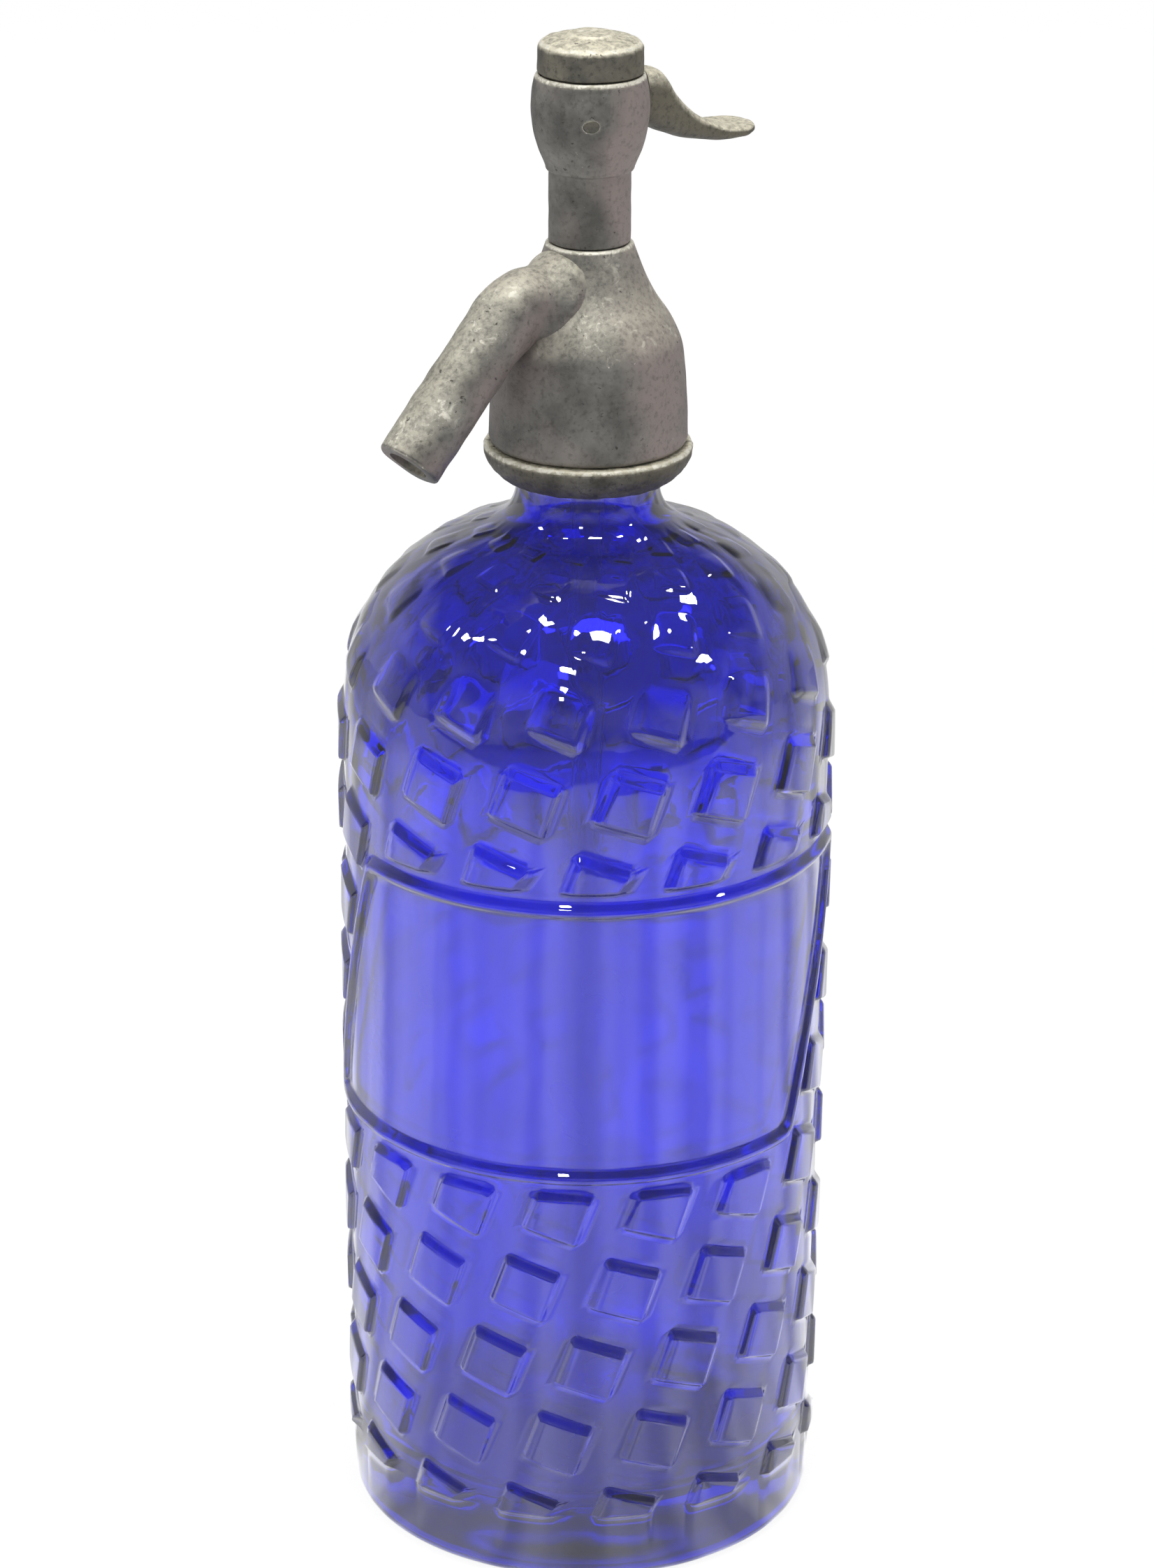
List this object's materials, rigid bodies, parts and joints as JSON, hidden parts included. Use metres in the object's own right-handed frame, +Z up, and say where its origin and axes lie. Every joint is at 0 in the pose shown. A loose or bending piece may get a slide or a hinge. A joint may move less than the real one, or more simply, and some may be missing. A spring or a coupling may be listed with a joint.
{
  "type": "soda siphon",
  "caption": "Soda siphon: thick pressed-glass bottle with a slanting lattice of raised pads, under a cast metal head with a spout and a thumb lever that opens a sprung valve.",
  "frame": {"origin": "bottom centre of the bottle's foot, on the surface it stands on", "axes": "+Z up along the bottle's axis; the spout points along -X and the lever along +X, and the lever's pin lies along Y"},
  "size_m": [0.0999, 0.0999, 0.3109],
  "materials": {
    "cobalt_glass": "thick cobalt-blue pressed glass, glossy",
    "tube_glass": "clear drawn glass tube",
    "cast_metal": "dull grey cast tin alloy with a worn patina",
    "worn_metal": "the same cast tin alloy, rubbed paler on its edges and top",
    "brass": "turned brass",
    "rubber": "hard black rubber"
  },
  "bodies": {
    "siphon": {"bottle": "cobalt_glass", "collar_half_front": "worn_metal", "collar_half_rear": "worn_metal", "lip_gasket": "rubber", "dip_tube": "tube_glass", "tube_holder": "brass", "tube_sleeve": "rubber", "head_body": "cast_metal", "valve_seat": "brass", "valve_column": "cast_metal", "stem_packing": "rubber", "packing_nut": "brass", "cap": "worn_metal", "lever_pin": "worn_metal"},
    "valve": {"valve_spring": "brass", "valve_stem": "brass", "valve_washer": "rubber", "valve_disc": "brass", "spring_seat": "brass", "stem_nut": "brass"},
    "lever": {"lever": "cast_metal"}
  },
  "joints": [
    {"name": "lever_pivot", "type": "hinge", "parent": "siphon", "child": "lever", "pos_m": [-0.0071, 0, 0.295], "axis": [0, 1, 0], "range_deg": [0, 12], "stiffness_Nm_per_rad": 0.06, "springref_deg": -28.65},
    {"name": "valve_lift", "type": "slide", "parent": "siphon", "child": "valve", "axis": [0, 0, -1], "range_m": [0, 0.0017], "deforming": ["valve_spring"]}
  ],
  "couplings": [
    {"joint": "valve_lift", "follows": "lever_pivot", "m_per_rad": 0.0081}
  ]
}
